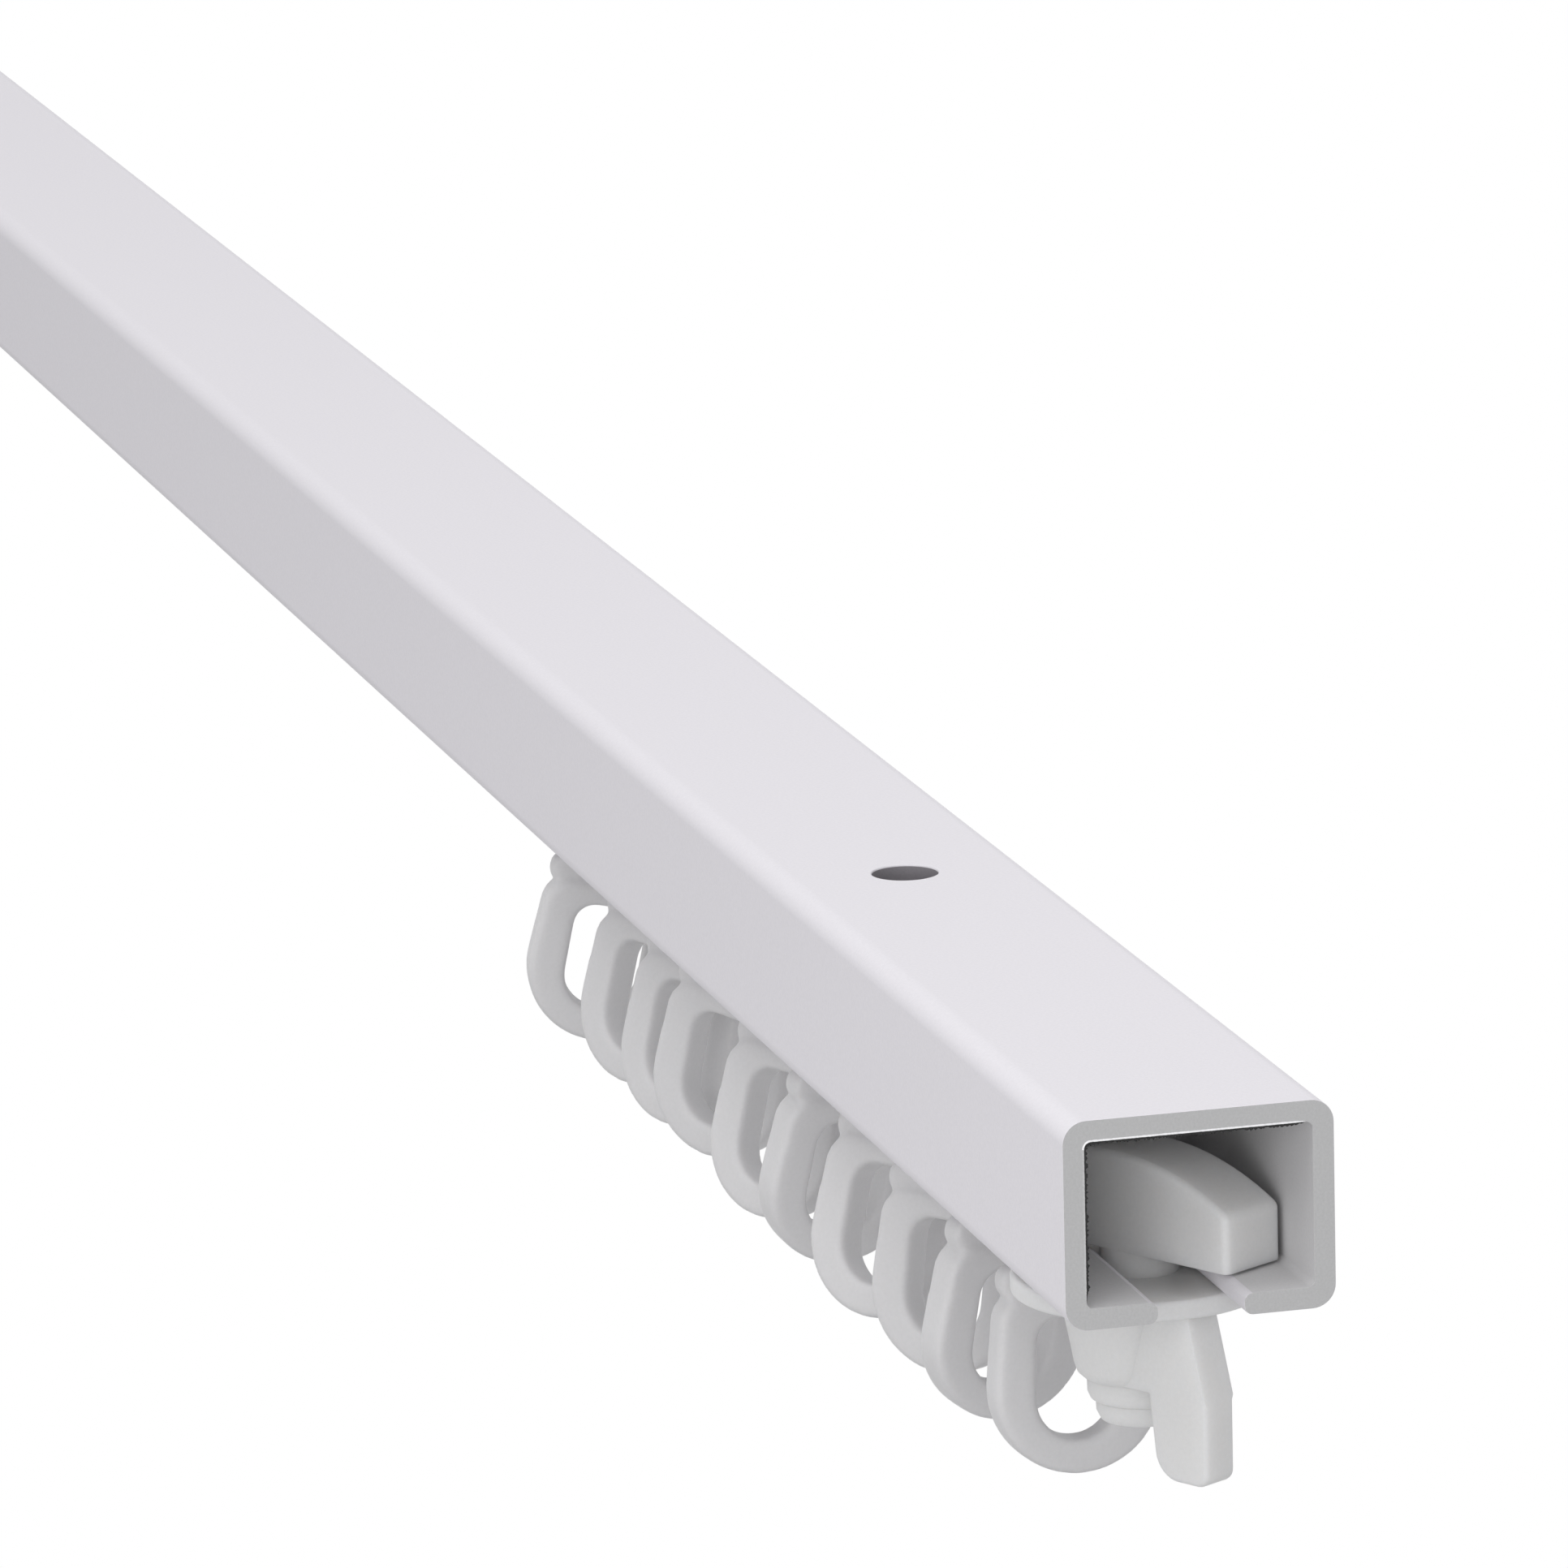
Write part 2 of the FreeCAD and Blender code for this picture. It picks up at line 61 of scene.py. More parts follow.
# The camera looks at the sawn end of the track through a long lens, from a little above and to one side.
# Its distance, direction and framing are those of the photograph.
track_low, track_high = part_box("track_profile")
camera_turn, camera_rise, camera_roll = (math.radians(angle) for angle in (14.714, 13.023, 1.446))
camera_distance = 586.8 * mm
camera_aim_right, camera_aim_down = -22.83 * mm, -30.86 * mm
camera_lens, camera_sensor = 238.34, 36
camera_nearest, camera_farthest = 10 * mm, 100
camera_back = Vector((math.cos(camera_turn) * math.cos(camera_rise),
                      -math.sin(camera_turn) * math.cos(camera_rise), math.sin(camera_rise)))
level_right = (-camera_back).cross(Vector((0, 0, 1))).normalized()
level_down = (-camera_back).cross(level_right)
camera_right = math.cos(camera_roll) * level_right + math.sin(camera_roll) * level_down
camera_down = math.cos(camera_roll) * level_down - math.sin(camera_roll) * level_right
end_foot = Vector((track_high.x, 0, track_low.z))
camera_aim = end_foot + camera_aim_right * level_right + camera_aim_down * level_down
bpy.ops.object.camera_add()
camera = bpy.context.object
camera.name = "camera"
camera.data.lens = camera_lens
camera.data.sensor_width = camera_sensor
camera.data.clip_start = camera_nearest
camera.data.clip_end = camera_farthest
camera_place = Matrix((camera_right, -camera_down, camera_back)).transposed().to_4x4()
camera_place.translation = camera_aim + camera_distance * camera_back
camera.matrix_world = camera_place
bpy.context.scene.camera = camera

# The track is one straight aluminium extrusion, a square channel with a slot along its underside.
# It is powder coated white, then drilled for screws through its top wall and sawn to length; inside the
# channel the coat is painted a darker grey as shade.
wall = 1.26 * mm
outer_corner, inner_corner, lip_rounding = 1.38 * mm, 0.4 * mm, 0.5 * mm
slot_width = 5.12 * mm
hole_diameter, hole_inset, hole_edge = 4.14 * mm, 61 * mm, 0.12 * mm
coat_edge, rim_edge = 0.14 * mm, 0.09 * mm
beyond = 5 * mm
corner_steps, small_corner_steps, hole_steps, edge_steps, rim_steps = 10, 4, 64, 3, 2


def deselect():
    """Leaves nothing selected."""
    bpy.ops.object.select_all(action="DESELECT")


def make_active(piece):
    """Selects one piece alone."""
    deselect()
    piece.select_set(True)
    bpy.context.view_layer.objects.active = piece


def block(name, low, high):
    """Rectangular block between two corners."""
    deselect()
    size = [top - bottom for bottom, top in zip(low, high)]
    middle = [(top + bottom) / 2 for bottom, top in zip(low, high)]
    bpy.ops.mesh.primitive_cube_add(size=1, location=middle, scale=size)
    piece = bpy.context.object
    piece.name = name
    bpy.ops.object.transform_apply(location=True, rotation=True, scale=True)
    return piece


def rod(name, radius, start, stop, steps):
    """Round bar between two points."""
    deselect()
    start, stop = Vector(start), Vector(stop)
    bpy.ops.mesh.primitive_cylinder_add(vertices=steps, radius=radius, depth=(stop - start).length)
    piece = bpy.context.object
    piece.name = name
    turn = Vector((0, 0, 1)).rotation_difference(stop - start)
    piece.matrix_world = Matrix.Translation((start + stop) / 2) @ turn.to_matrix().to_4x4()
    bpy.ops.object.transform_apply(location=True, rotation=True, scale=True)
    return piece


def select_edges(piece, wanted):
    """Enters edit mode with the edges selected whose two ends pass the test."""
    make_active(piece)
    bpy.ops.object.mode_set(mode="EDIT")
    bpy.ops.mesh.select_mode(type="EDGE")
    bpy.ops.mesh.select_all(action="DESELECT")
    edit = bmesh.from_edit_mesh(piece.data)
    for edge in edit.edges:
        edge.select_set(wanted(edge.verts[0].co, edge.verts[1].co))
    edit.select_flush_mode()
    bmesh.update_edit_mesh(piece.data)


def round_edges(piece, wanted, radius, steps):
    """Rounds the chosen edges of a piece."""
    select_edges(piece, wanted)
    bpy.ops.mesh.bevel(offset=radius, offset_type="OFFSET", segments=steps, affect="EDGES",
                       clamp_overlap=True)
    bpy.ops.object.mode_set(mode="OBJECT")


def near(value, target, slack=0.002 * mm):
    """True where two lengths agree."""
    return abs(value - target) < slack


def combine(piece, tool, operation):
    """Cuts a tool out of a piece, or joins it on, and removes the tool."""
    make_active(piece)
    change = piece.modifiers.new(operation, "BOOLEAN")
    change.operation = operation
    change.solver = "EXACT"
    change.object = tool
    bpy.ops.object.modifier_apply(modifier=change.name)
    bpy.data.objects.remove(tool)


half_width = track_high.y
floor_top = track_low.z + wall


def runs_along_track(a, b):
    """True for the ends of an edge that runs the length of the track."""
    return abs(a.x - b.x) > track_high.x


def on_lip_tip(a, b):
    """True for the ends of a long edge where the slot cuts the channel's floor."""
    return runs_along_track(a, b) and near(abs(a.y), slot_width / 2) and a.z < floor_top + wall


def on_hole_rim(a, b):
    """True for the ends of an edge round a screw hole, on the top face."""
    if not (near(a.z, 0) and near(b.z, 0)):
        return False
    return (a - b).length < hole_diameter / 2 and max(abs(a.y), abs(b.y)) < hole_diameter


def on_end(a, b, outside):
    """True for the ends of an edge of a sawn face, on its outer rim or on its channel rim."""
    if not (near(abs(a.x), track_high.x) and near(a.x, b.x)):
        return False
    middle = (a + b) / 2
    half_height = -track_low.z / 2
    depth = min(half_width - abs(middle.y), half_height - abs(middle.z + half_height))
    return outside == (depth < wall / 2)


track = block("track_extrusion", track_low, track_high)
round_edges(track, runs_along_track, outer_corner, corner_steps)
channel = block("channel", (track_low.x - beyond, wall - half_width, floor_top),
                (track_high.x + beyond, half_width - wall, -wall))
round_edges(channel, runs_along_track, inner_corner, small_corner_steps)
combine(track, channel, "DIFFERENCE")
slot = block("slot", (track_low.x - beyond, -slot_width / 2, track_low.z - beyond),
             (track_high.x + beyond, slot_width / 2, floor_top + wall))
combine(track, slot, "DIFFERENCE")
round_edges(track, on_lip_tip, lip_rounding, small_corner_steps)
for place in (track_low.x + hole_inset, 0, track_high.x - hole_inset):
    drill = rod("drill", hole_diameter / 2, (place, 0, -2 * wall), (place, 0, wall), hole_steps)
    combine(track, drill, "DIFFERENCE")
round_edges(track, on_hole_rim, hole_edge, edge_steps)
round_edges(track, lambda a, b: on_end(a, b, True), coat_edge, edge_steps)
round_edges(track, lambda a, b: on_end(a, b, False), rim_edge, rim_steps)


def paint(name, colour, roughness, specular):
    """New material with one Principled shader, returned with the shader and its node tree."""
    material = bpy.data.materials.new(name)
    material.use_nodes = True
    shader = material.node_tree.nodes["Principled BSDF"]
    shader.inputs["Base Color"].default_value = (*colour, 1)
    shader.inputs["Roughness"].default_value = roughness
    shader.inputs["Specular IOR Level"].default_value = specular
    return material, shader, material.node_tree


def add_node(tree, kind, **settings):
    """New node with its settings and the values of its named inputs."""
    node = tree.nodes.new(kind)
    for key, value in settings.items():
        if key in node.inputs:
            node.inputs[key].default_value = value
        else:
            setattr(node, key, value)
    return node


def grained(name, colour, grain, roughness, specular, spread):
    """Paint with a fine grain, given as its scale and height: noise shifts its colour and its surface."""
    scale, height = grain
    material, shader, tree = paint(name, colour, roughness, specular)
    place = add_node(tree, "ShaderNodeTexCoord")
    pattern = add_node(tree, "ShaderNodeTexNoise", Scale=scale, Detail=3.0, Roughness=0.6)
    tree.links.new(place.outputs["Object"], pattern.inputs["Vector"])
    ramp = add_node(tree, "ShaderNodeValToRGB")
    darker, lighter = ramp.color_ramp.elements
    darker.position, lighter.position = 0.3, 0.7
    darker.color = (*[part * (1 - spread) for part in colour], 1)
    lighter.color = (*[min(1, part * (1 + spread)) for part in colour], 1)
    tree.links.new(pattern.outputs["Fac"], ramp.inputs["Fac"])
    tree.links.new(ramp.outputs["Color"], shader.inputs["Base Color"])
    bump = add_node(tree, "ShaderNodeBump", Strength=1.0, Distance=height)
    tree.links.new(pattern.outputs["Fac"], bump.inputs["Height"])
    tree.links.new(bump.outputs["Normal"], shader.inputs["Normal"])
    return material


# Inside the channel the white coat is painted a darker grey, as the shade there.
coat_colour, inside_shade_colour = (0.81, 0.79, 0.825), (0.665, 0.66, 0.665)
# The screw holes' walls are bare metal, painted dark grey for the shade inside the holes.
sawn_colour, drilled_shade_colour = (0.54, 0.54, 0.54), (0.27, 0.255, 0.275)
coat_grain, metal_grain = (5200, 0.004 * mm), (6500, 0.006 * mm)
coat = grained("white_powder_coat", coat_colour, coat_grain, roughness=0.55, specular=0.35, spread=0.025)
sawn = grained("sawn_end", sawn_colour, metal_grain, roughness=0.6, specular=0.35, spread=0.05)
inside_shade_coat = grained("inside_coat_painted_shade", inside_shade_colour, coat_grain, roughness=0.6, specular=0.3, spread=0.035)
drilled_and_shaded = grained("drilled_wall_painted_shade", drilled_shade_colour, metal_grain, roughness=0.55, specular=0.35, spread=0.05)
track_paints = (coat, sawn, inside_shade_coat, drilled_and_shaded)
track.data.materials.clear()
for material in track_paints:
    track.data.materials.append(material)
skin, square_on = 0.01 * mm, 0.9
for face in track.data.polygons:
    across, height = abs(face.center.y), face.center.z
    if abs(face.normal.x) > square_on and abs(face.center.x) > track_high.x - wall:
        face.material_index = track_paints.index(sawn)
    # Faces inside the channel take the coat painted darker as shade.
    elif across < half_width - wall + skin and floor_top - skin < height < skin - wall:
        face.material_index = track_paints.index(inside_shade_coat)
    # The screw holes' walls take bare metal painted dark as shade.
    elif across < half_width - outer_corner and skin - wall < height < -hole_edge:
        face.material_index = track_paints.index(drilled_and_shaded)


def shade(piece, sharp_angle=30):
    """Smooth shading that keeps edges sharper than the angle, with flat faces left flat."""
    make_active(piece)
    bpy.ops.object.shade_smooth_by_angle(angle=math.radians(sharp_angle))
    weigh = piece.modifiers.new("weigh", "WEIGHTED_NORMAL")
    weigh.keep_sharp = True
    bpy.ops.object.modifier_apply(modifier=weigh.name)


shade(track)

# The saw leaves a fine burr on the visible end, on the channel's rim up the left wall and along the top wall.
# A ragged fringe hangs into the channel, painted near black as shade, and behind it the metal is turned up,
# painted near white on the top wall as a highlight.
burr_steps, burr_rows, fade_steps, burr_seed = 260, 4, 8, 7
ridge_back, ridge_rise, fringe_reach, fringe_rag, burr_root, sunk = (
    v * mm for v in (0.12, 0.05, 0.15, 0.14, 0.14, 0.01))
rag_middle, rise_least, rise_more = 0.3, 0.6, 0.8
merged_within = 0.0001 * mm
rim_y, rim_foot, rim_top = half_width - wall, floor_top + inner_corner, -wall
upright = rim_top - inner_corner - rim_foot
bend = inner_corner * math.pi / 2
level = 2 * (rim_y - inner_corner)
rim_length = upright + bend + level
random.seed(burr_seed)
rag = [(random.random(), random.random()) for step in range(burr_steps + 1)]


def on_rim(along):
    """Place on the channel's rim, as (Y, Z), and the direction into the channel there."""
    if along < upright:
        return Vector((-rim_y, rim_foot + along)), Vector((1, 0))
    if along < upright + bend:
        turn = (along - upright) / inner_corner
        inward = Vector((math.cos(turn), -math.sin(turn)))
        return Vector((inner_corner - rim_y, rim_top - inner_corner)) - inner_corner * inward, inward
    return Vector((inner_corner - rim_y + along - upright - bend, rim_top)), Vector((0, -1))


def join(name, pieces):
    """Puts several overlapping shapes into one piece."""
    make_active(pieces[0])
    for piece in pieces:
        piece.select_set(True)
    bpy.ops.object.join()
    bpy.context.object.name = name
    return bpy.context.object


# The ridge is painted near white as a highlight and the fringe near black as shade, not as the metal's own
# colour.
ridge_highlight_colour, fringe_shade_colour = (0.92, 0.92, 0.93), (0.035, 0.035, 0.035)
highlight_ridge = paint("painted_highlight_ridge", ridge_highlight_colour, roughness=0.4, specular=0.5)[0]
shade_fringe = paint("painted_shade_fringe", fringe_shade_colour, roughness=0.6, specular=0.2)[0]
burr_paints = (highlight_ridge, shade_fringe, sawn)
deselect()
bpy.ops.mesh.primitive_grid_add(x_subdivisions=burr_steps, y_subdivisions=burr_rows, size=2)
burr = bpy.context.object
burr.name = "burr"
for material in burr_paints:
    burr.data.materials.append(material)
for face in burr.data.polygons:
    row = math.floor((face.center.y + 1) / 2 * burr_rows)
    along = (face.center.x + 1) / 2 * rim_length
    if row > 0:
        face.material_index = burr_paints.index(shade_fringe)
    elif along < upright:
        face.material_index = burr_paints.index(sawn)
for vertex in burr.data.vertices:
    step = round((vertex.co.x + 1) / 2 * burr_steps)
    row = round((vertex.co.y + 1) / 2 * burr_rows)
    place, inward = on_rim(rim_length * step / burr_steps)
    fade = min(1, step / fade_steps, (burr_steps - step) / fade_steps)
    tip = fade * (fringe_reach + fringe_rag * (rag[step][0] ** 2 - rag_middle))
    rise = fade * ridge_rise * (rise_least + rise_more * rag[step][1])
    section = ((-ridge_back, -sunk), (-sunk, rise), (tip, -2 * sunk), (-sunk, -burr_root),
               (-ridge_back, -sunk))
    depth, out = section[row]
    side = place + depth * inward
    vertex.co = (track_high.x + out, side.x, side.y)
make_active(burr)
bpy.ops.object.mode_set(mode="EDIT")
bpy.ops.mesh.select_all(action="SELECT")
bpy.ops.mesh.remove_doubles(threshold=merged_within)
bpy.ops.mesh.fill_holes(sides=0)
bpy.ops.mesh.normals_make_consistent(inside=False)
bpy.ops.object.mode_set(mode="OBJECT")
track = join("track_extrusion", [track, burr])
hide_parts("track_profile")
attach(track, "track")

# Each glider is one plastic moulding: an oblong head that slides on the lips, a neck through the slot,
# a collar bar under the track and a U-shaped ring with an eye for the curtain hook.
head_clearance, head_side_room, head_over_slot = 0.2 * mm, 3.9 * mm, 0.3 * mm
head_thickness, head_corner, neck_diameter = 1.8 * mm, 1.5 * mm, 2 * mm
collar_drop, collar_height, collar_length, collar_overlap = 3.3 * mm, 2 * mm, 9.5 * mm, 0.3 * mm
collar_depth, collar_rounding = 1.8 * mm, 0.48 * collar_height
ring_height, ring_radius, ring_top_width, ring_depth, ring_shoulder = (
    v * mm for v in (10.7, 5.1, 9.5, 2.5, 1.6))
eye_top_wall, eye_bottom_wall, eye_radius, eye_corner = 1.3 * mm, 1.95 * mm, 2.62 * mm, 1.5 * mm
ring_steps, neck_steps, shoulder_steps, bar_steps = 96, 32, 10, 8
# Distance from the near end and offset across, both in mm, then turn, lean and swing in degrees.
glider_places = (
    (24.1, -0.2, 0, -3, -5), (33.0, -0.2, -12, -9, 2), (45.5, -0.5, 46, -7, -2), (57.0, -0.2, 50, -14, -8),
    (67.5, -0.3, -8, -11, 6), (81.5, -0.3, 55, -14, -6), (95.5, -0.4, 50, -11, 4), (106.0, -0.3, 60, -13, -3),
    (116.5, -0.3, 60, -13, 0), (128.5, -0.4, 10, -12, 2))


def through_at(height):
    """Test for the edges that run through a piece along the track at one height."""
    return lambda a, b: near(a.z, height) and near(b.z, height) and not near(a.x, b.x)


def mould(piece, voxel, rounds, swell):
    """Fuses overlapping shapes into one skin, softens its edges and makes good what that takes off."""
    make_active(piece)
    fuse = piece.modifiers.new("fuse", "REMESH")
    fuse.mode = "VOXEL"
    fuse.voxel_size = voxel
    soften = piece.modifiers.new("soften", "SMOOTH")
    soften.factor = 0.5
    soften.iterations = rounds
    grow = piece.modifiers.new("grow", "DISPLACE")
    grow.mid_level = 0
    grow.strength = swell
    for change in (fuse, soften, grow):
        bpy.ops.object.modifier_apply(modifier=change.name)
    bpy.ops.object.shade_smooth()


pivot = wall + head_clearance
head_along = (slot_width + head_over_slot) / 2
head_across = (2 * half_width - 2 * wall - head_side_room) / 2
ring_top = -collar_drop - collar_height + collar_overlap
ring_centre = ring_top - ring_height + ring_radius
half_depth = ring_depth / 2

ring = rod("ring", ring_radius, (-half_depth, 0, ring_centre), (half_depth, 0, ring_centre), ring_steps)
shoulders = block("shoulders", (-half_depth, -ring_radius, ring_centre), (half_depth, ring_radius, ring_top))
for vertex in shoulders.data.vertices:
    if near(vertex.co.z, ring_top):
        vertex.co.y *= ring_top_width / 2 / ring_radius
round_edges(shoulders, through_at(ring_top), ring_shoulder, shoulder_steps)
combine(ring, shoulders, "UNION")
eye_centre = ring_top - ring_height + eye_bottom_wall + eye_radius
eye_top = ring_top - eye_top_wall
eye = rod("eye", eye_radius, (-ring_depth, 0, eye_centre), (ring_depth, 0, eye_centre), ring_steps)
eye_upper = block("eye_upper", (-ring_depth, -eye_radius, eye_centre), (ring_depth, eye_radius, eye_top))
round_edges(eye_upper, through_at(eye_top), eye_corner, shoulder_steps)
combine(eye, eye_upper, "UNION")
combine(ring, eye, "DIFFERENCE")
collar = block("collar", (-collar_depth / 2, -collar_length / 2, -collar_drop - collar_height),
               (collar_depth / 2, collar_length / 2, -collar_drop))
round_edges(collar, lambda a, b: near(abs(a.y), collar_length / 2) and near(a.y, b.y) and not near(a.x, b.x),
            collar_rounding, bar_steps)
neck = rod("neck", neck_diameter / 2, (0, 0, -collar_drop - collar_height / 2),
           (0, 0, pivot + head_thickness / 2), neck_steps)
head = block("head", (-head_along, -head_across, pivot), (head_along, head_across, pivot + head_thickness))
round_edges(head, lambda a, b: not near(a.z, b.z), head_corner, bar_steps)
glider = join("glider", [ring, collar, neck, head])
mould(glider, voxel=0.16 * mm, rounds=32, swell=0.07 * mm)


def let_light_in(material, share, depth):
    """Makes a plastic milky: light goes a short way into it, red a little further than blue."""
    shader = material.node_tree.nodes["Principled BSDF"]
    shader.inputs["Subsurface Weight"].default_value = share
    shader.inputs["Subsurface Radius"].default_value = (1.0, 0.95, 0.9)
    shader.inputs["Subsurface Scale"].default_value = depth


plastic_colour, plastic_grain = (0.69, 0.685, 0.69), (4200, 0.003 * mm)
plastic = grained("milky_plastic", plastic_colour, plastic_grain, roughness=0.5, specular=0.4, spread=0.02)
let_light_in(plastic, share=0.5, depth=0.6 * mm)
glider.data.materials.clear()
glider.data.materials.append(plastic)


def glider_stand(place, offset, turn, lean, swing):
    """Where a glider stands: turned, leaning and swung about its head, which rests on the lips."""
    turned = (Matrix.Rotation(math.radians(swing), 4, "Y") @ Matrix.Rotation(math.radians(lean), 4, "X")
              @ Matrix.Rotation(math.radians(-turn), 4, "Z"))
    tilt_x, tilt_y = turned[2][0], turned[2][1]
    lift = ((head_along - head_corner) * abs(tilt_x) + (head_across - head_corner) * abs(tilt_y)
            + head_corner * math.hypot(tilt_x, tilt_y))
    base = Vector((track_high.x - place * mm, offset * mm, track_low.z + pivot + lift))
    return Matrix.Translation(base) @ turned @ Matrix.Translation((0, 0, -pivot))


def set_in_track(moulding, node, stand):
    """Sets a copy of a plastic moulding where its solid stands, and gives it that solid's motion."""
    copy = moulding.copy()
    copy.data = moulding.data.copy()
    copy.name = f"{node}_moulding"
    bpy.context.collection.objects.link(copy)
    copy.data.transform(stand)
    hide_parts(node)
    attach(copy, node)


for number, place in enumerate(glider_places, 1):
    set_in_track(glider, f"glider_{number:02d}", glider_stand(*place))
bpy.data.objects.remove(glider)

# Each end stop is one plastic moulding, pushed up through the slot and turned until its arched head jams
# across the channel. Under the track it has a thin flange, a stepped round hub and a flat finger tab.
stop_inset, stop_turn = 12 * mm, 31
jam_clearance, stop_seat, stop_slot_room = 0.2 * mm, 0.15 * mm, 0.46 * mm
stop_tip_height, stop_arch_rise, stop_head_edge, stop_neck_diameter = (
    v * mm for v in (3.35, 2.5, 0.4, 4.6))
flange_diameter, flange_thickness, flange_edge = 15 * mm, 1.2 * mm, 0.25 * mm
# Radius and height in mm, from under the flange down to the hub's foot.
hub_profile = (
    (4.75, -1.2), (4.7, -1.5), (4.38, -3.06), (4.08, -4.6), (3.9, -5.6), (3.72, -6.1), (3.4, -6.4),
    (3.17, -6.45), (3.15, -7.35), (3.0, -7.7), (2.68, -7.88), (2.65, -8.5), (2.4, -9.0), (1.6, -9.25))
tab_near, tab_far = -0.8 * mm, -3.25 * mm
tab_root_inner, tab_root_outer, tab_waist_inner, tab_kink_outer, tab_foot_inner = (
    v * mm for v in (4.2, 6.4, 3.4, 7.85, 4.0))
tab_kink_drop, tab_foot_drop = 6.35 * mm, 11.25 * mm
tab_outer_corner, tab_inner_corner, tab_edge = 0.8 * mm, 1.5 * mm, 0.28 * mm
web_inner, web_foot, web_set_back = 1.0 * mm, 6.25 * mm, 0.002 * mm
flange_steps, hub_steps, stop_neck_steps = 128, 96, 64
arch_cuts, head_edge_steps, outer_corner_steps, inner_corner_steps = 31, 4, 6, 8
apart = 0.1 * mm
# A point off to one side, at another distance from each corner of the stop.
order_point = Vector((71.3, 127.9, 213.1)) * mm

flange_top = -stop_seat
flange_foot = flange_top - flange_thickness
tab_top = flange_top - flange_thickness / 2
flange = rod("flange", flange_diameter / 2, (0, 0, flange_foot), (0, 0, flange_top), flange_steps)
stop_neck = rod("stop_neck", stop_neck_diameter / 2, (0, 0, flange_foot), (0, 0, pivot + stop_tip_height / 2),
                stop_neck_steps)
deselect()
bpy.ops.mesh.primitive_circle_add(vertices=hub_steps, radius=hub_profile[0][0] * mm, fill_type="NGON",
                                  location=(0, 0, hub_profile[0][1] * mm))
hub = bpy.context.object
bpy.ops.object.transform_apply(location=True, rotation=True, scale=True)
bpy.ops.object.mode_set(mode="EDIT")
bpy.ops.mesh.select_mode(type="FACE")
for (radius, height), (next_radius, next_height) in zip(hub_profile, hub_profile[1:]):
    bpy.ops.mesh.select_all(action="DESELECT")
    edit = bmesh.from_edit_mesh(hub.data)
    for face in edit.faces:
        face.select_set(all(near(corner.co.z, height * mm) for corner in face.verts))
    bmesh.update_edit_mesh(hub.data)
    bpy.ops.mesh.extrude_region_move(TRANSFORM_OT_translate={"value": (0, 0, (next_height - height) * mm)})
    share = next_radius / radius
    bpy.ops.transform.resize(value=(share, share, 1), center_override=(0, 0, next_height * mm))
bpy.ops.mesh.select_all(action="SELECT")
bpy.ops.mesh.normals_make_consistent(inside=False)
bpy.ops.object.mode_set(mode="OBJECT")

bar_half = (slot_width - stop_slot_room) / 2
angle = math.radians(stop_turn)
bar_reach = (half_width - wall - jam_clearance - bar_half * math.cos(angle)) / math.sin(angle)
arch_radius = (bar_reach ** 2 + stop_arch_rise ** 2) / (2 * stop_arch_rise)
tip_top = pivot + stop_tip_height
bar = block("bar", (-bar_reach, -bar_half, pivot), (bar_reach, bar_half, tip_top))
select_edges(bar, lambda a, b: not near(a.x, b.x))
bpy.ops.mesh.subdivide(number_cuts=arch_cuts)
bpy.ops.object.mode_set(mode="OBJECT")
for vertex in bar.data.vertices:
    if near(vertex.co.z, tip_top):
        vertex.co.z = tip_top + stop_arch_rise - arch_radius + math.sqrt(arch_radius ** 2 - vertex.co.x ** 2)


def on_head_rim(a, b):
    """True for the ends of an edge along the head's arched top, across its tips or up its corners."""
    above_foot = max(a.z, b.z) > pivot + apart
    return above_foot and (not near(a.x, b.x) or near(abs(a.x), bar_reach))


round_edges(bar, on_head_rim, stop_head_edge, head_edge_steps)

tab = block("tab", (tab_foot_inner, tab_far, -tab_foot_drop), (tab_kink_outer, tab_near, tab_top))
make_active(tab)
bpy.ops.object.mode_set(mode="EDIT")
bpy.ops.mesh.select_all(action="SELECT")
bpy.ops.mesh.bisect(plane_co=(0, 0, -tab_kink_drop), plane_no=(0, 0, 1))
bpy.ops.object.mode_set(mode="OBJECT")
for vertex in tab.data.vertices:
    inner = near(vertex.co.x, tab_foot_inner)
    if near(vertex.co.z, -tab_kink_drop) and inner:
        vertex.co.x = tab_waist_inner
    elif vertex.co.z > apart - tab_kink_drop:
        vertex.co.x = tab_root_inner if inner else tab_root_outer


def on_foot_corner(a, b, corner):
    """True for the ends of an edge through the tab's foot at its outer or inner corner."""
    at_foot = near(a.z, -tab_foot_drop) and near(b.z, -tab_foot_drop)
    return at_foot and not near(a.y, b.y) and near(a.x, corner)


def on_tab_rim(a, b):
    """True for the ends of an edge round the tab's two broad faces."""
    along_kink = near(a.z, -tab_kink_drop) and near(b.z, -tab_kink_drop)
    return near(a.y, b.y) and a.z < flange_foot and b.z < flange_foot and not along_kink


def on_flange_rim(a, b):
    """True for the ends of an edge round the flange."""
    return near(a.z, b.z) and min(math.hypot(a.x, a.y), math.hypot(b.x, b.y)) > flange_diameter / 2 - apart


def settle(piece):
    """Sorts a union by distance from the order point, so that the next union is the same in each run."""
    bpy.context.scene.cursor.location = order_point
    make_active(piece)
    bpy.ops.object.mode_set(mode="EDIT")
    bpy.ops.mesh.select_all(action="SELECT")
    bpy.ops.mesh.sort_elements(type="CURSOR_DISTANCE", elements={"VERT", "EDGE", "FACE"})
    bpy.ops.object.mode_set(mode="OBJECT")


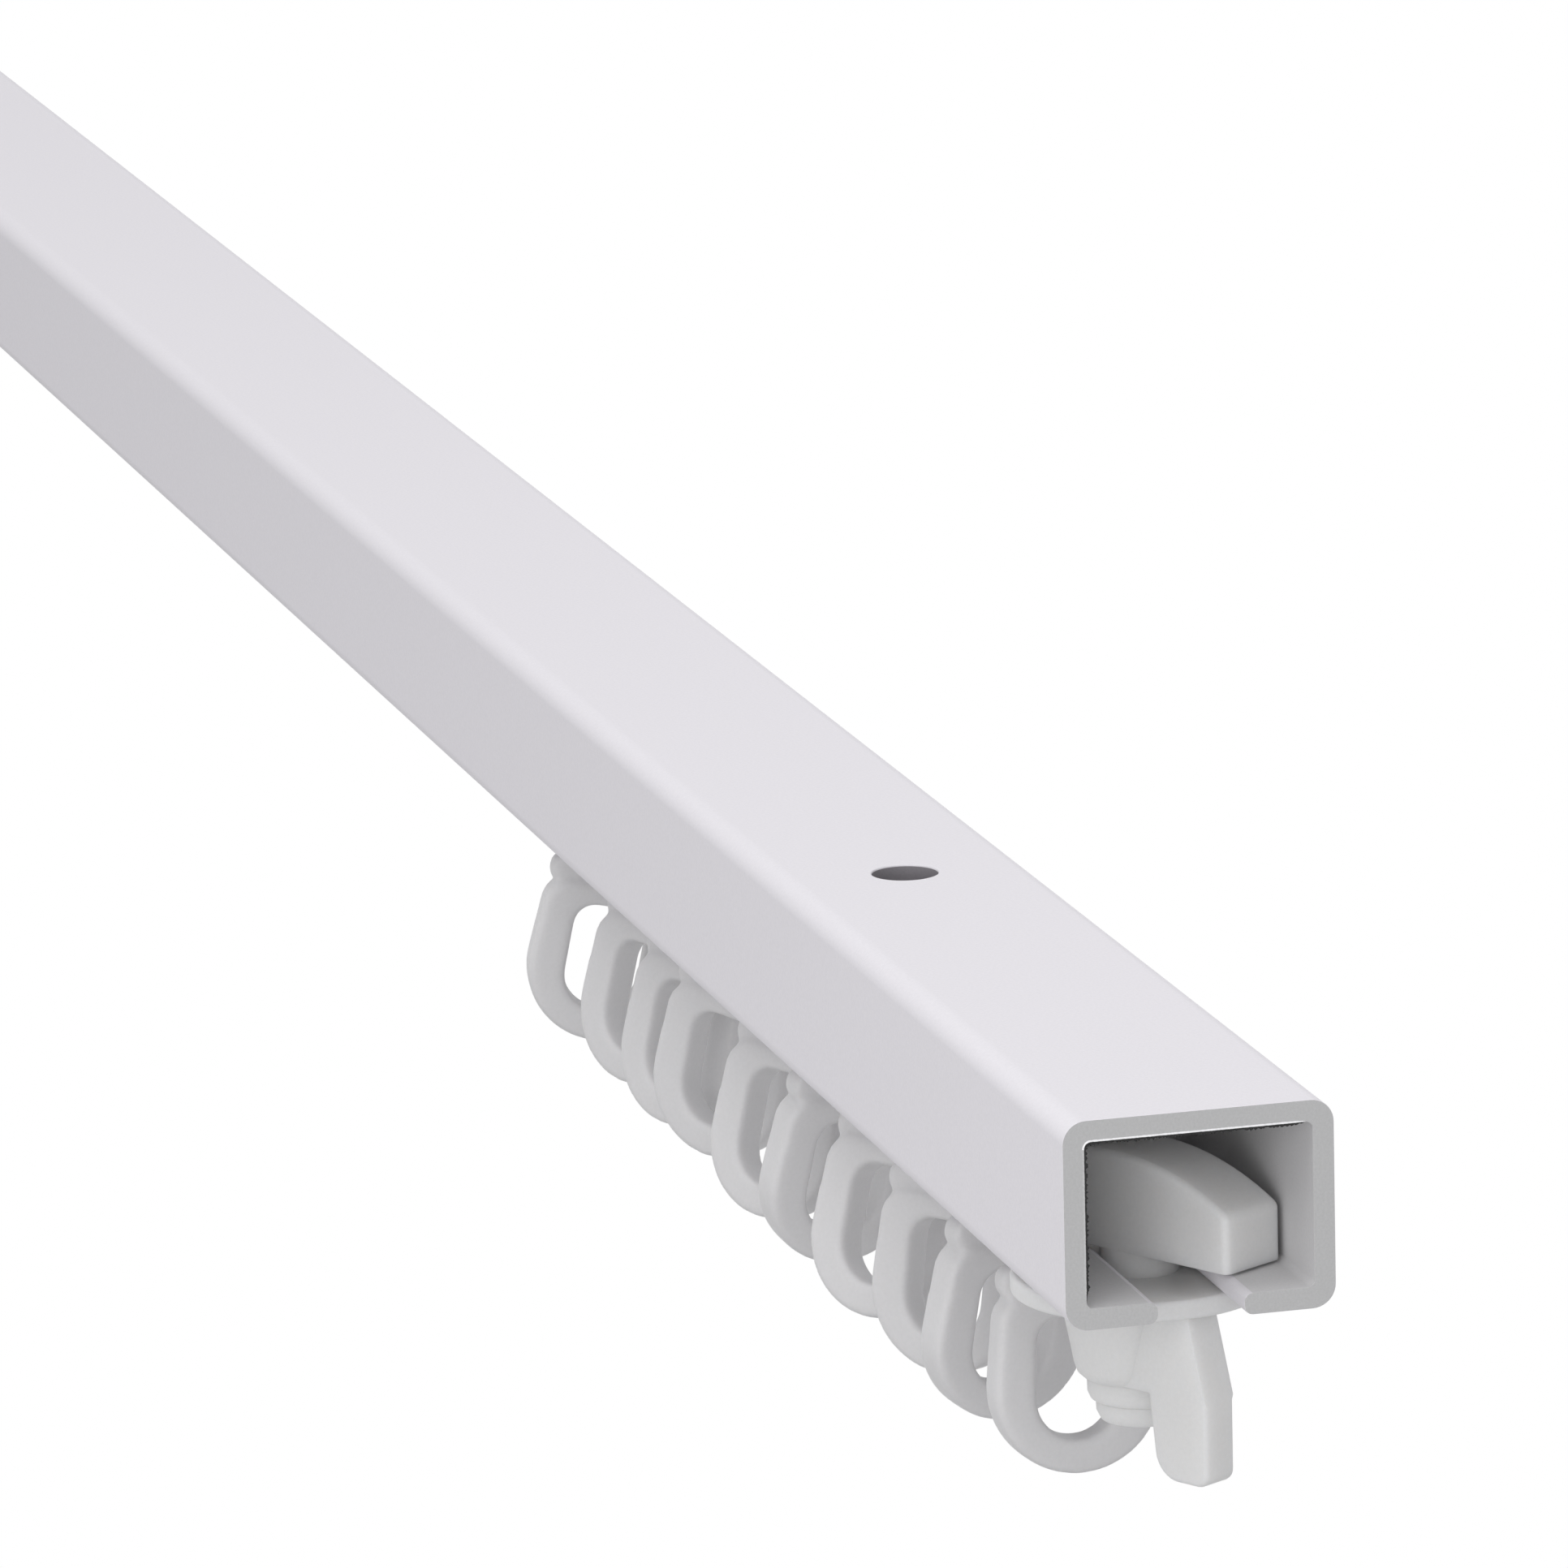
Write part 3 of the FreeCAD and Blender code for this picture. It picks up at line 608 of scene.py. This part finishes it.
round_edges(tab, lambda a, b: on_foot_corner(a, b, tab_kink_outer), tab_outer_corner, outer_corner_steps)
round_edges(tab, lambda a, b: on_foot_corner(a, b, tab_foot_inner), tab_inner_corner, inner_corner_steps)
round_edges(tab, on_tab_rim, tab_edge, edge_steps)
round_edges(flange, on_flange_rim, flange_edge, edge_steps)
web = block("web", (web_inner, tab_far, -web_foot),
            (tab_root_inner + tab_edge, tab_near - web_set_back, flange_foot + tab_edge))
stop = flange
for shape in (hub, web, tab, stop_neck, bar):
    combine(stop, shape, "UNION")
    settle(stop)
shade(stop)

stop_colour = (0.765, 0.765, 0.76)
stop_plastic = grained("stop_plastic", stop_colour, plastic_grain, roughness=0.5, specular=0.4, spread=0.02)
let_light_in(stop_plastic, share=0.85, depth=2.2 * mm)
stop.data.materials.clear()
stop.data.materials.append(stop_plastic)
for node, side, turn in (("near_end_stop", 1, stop_turn), ("far_end_stop", -1, stop_turn + 180)):
    place = Matrix.Translation((side * (track_high.x - stop_inset), 0, track_low.z))
    set_in_track(stop, node, place @ Matrix.Rotation(math.radians(turn), 4, "Z"))
bpy.data.objects.remove(stop)

# The room is a plain pale floor some way below the hung track and a white surround. Large soft lamps
# above and to the visible side light the object, and the surround fills its shadows.
floor_drop, floor_size = 2400 * mm, 3
floor_colour, floor_glow, floor_glow_share = (0.85, 0.85, 0.85), 1.13, 0.8
surround_colour, surround_level, white = (0.98, 0.98, 1.0, 1), 0.48, (1, 1, 1, 1)
lamp_aim = Vector((0.35, 0, 0))
lamps = (("top_lamp", (0.6, -0.25, 1.1), 1.1, 7.3), ("side_lamp", (0.75, -0.55, -0.05), 0.4, 0.26),
         ("end_lamp", (0.9, -0.25, 0.06), 0.3, 0.7))


def show_bright(tree, plain, bright, share, output):
    """Shows a share of the bright shader to the camera and in reflections, and the plain one elsewhere."""
    path = add_node(tree, "ShaderNodeLightPath")
    seen = add_node(tree, "ShaderNodeMath", operation="MAXIMUM")
    tree.links.new(path.outputs["Is Camera Ray"], seen.inputs[0])
    tree.links.new(path.outputs["Is Glossy Ray"], seen.inputs[1])
    seen_through = add_node(tree, "ShaderNodeMath", operation="MAXIMUM")
    tree.links.new(seen.outputs[0], seen_through.inputs[0])
    tree.links.new(path.outputs["Is Transmission Ray"], seen_through.inputs[1])
    part = add_node(tree, "ShaderNodeMath", operation="MULTIPLY")
    part.inputs[1].default_value = share
    tree.links.new(seen_through.outputs[0], part.inputs[0])
    mix = add_node(tree, "ShaderNodeMixShader")
    tree.links.new(part.outputs[0], mix.inputs[0])
    tree.links.new(plain.outputs[0], mix.inputs[1])
    tree.links.new(bright.outputs[0], mix.inputs[2])
    tree.links.new(mix.outputs[0], tree.nodes[output].inputs["Surface"])


deselect()
bpy.ops.mesh.primitive_plane_add(size=floor_size, location=(0, 0, cad_box[0][2] - floor_drop))
floor = bpy.context.object
floor.name = "floor"
bpy.ops.object.transform_apply(location=True, rotation=True, scale=True)
floor_paint, floor_shader, floor_tree = paint("pale_floor", floor_colour, roughness=0.9, specular=0.1)
glow = add_node(floor_tree, "ShaderNodeEmission", Color=white, Strength=floor_glow)
show_bright(floor_tree, floor_shader, glow, floor_glow_share, "Material Output")
floor.data.materials.append(floor_paint)

world = bpy.data.worlds.new("white_surround")
bpy.context.scene.world = world
world.use_nodes = True
fill = world.node_tree.nodes["Background"]
fill.inputs["Color"].default_value = surround_colour
fill.inputs["Strength"].default_value = surround_level
backdrop = add_node(world.node_tree, "ShaderNodeBackground", Color=white, Strength=1.0)
show_bright(world.node_tree, fill, backdrop, 1.0, "World Output")

for name, place, width, power in lamps:
    deselect()
    bpy.ops.object.light_add(type="AREA", location=place)
    lamp = bpy.context.object
    lamp.name = name
    lamp.data.shape = "SQUARE"
    lamp.data.size = width
    lamp.data.energy = power
    lamp.rotation_euler = (lamp_aim - Vector(place)).to_track_quat("-Z", "Y").to_euler()

bpy.context.scene.view_settings.view_transform = "Standard"
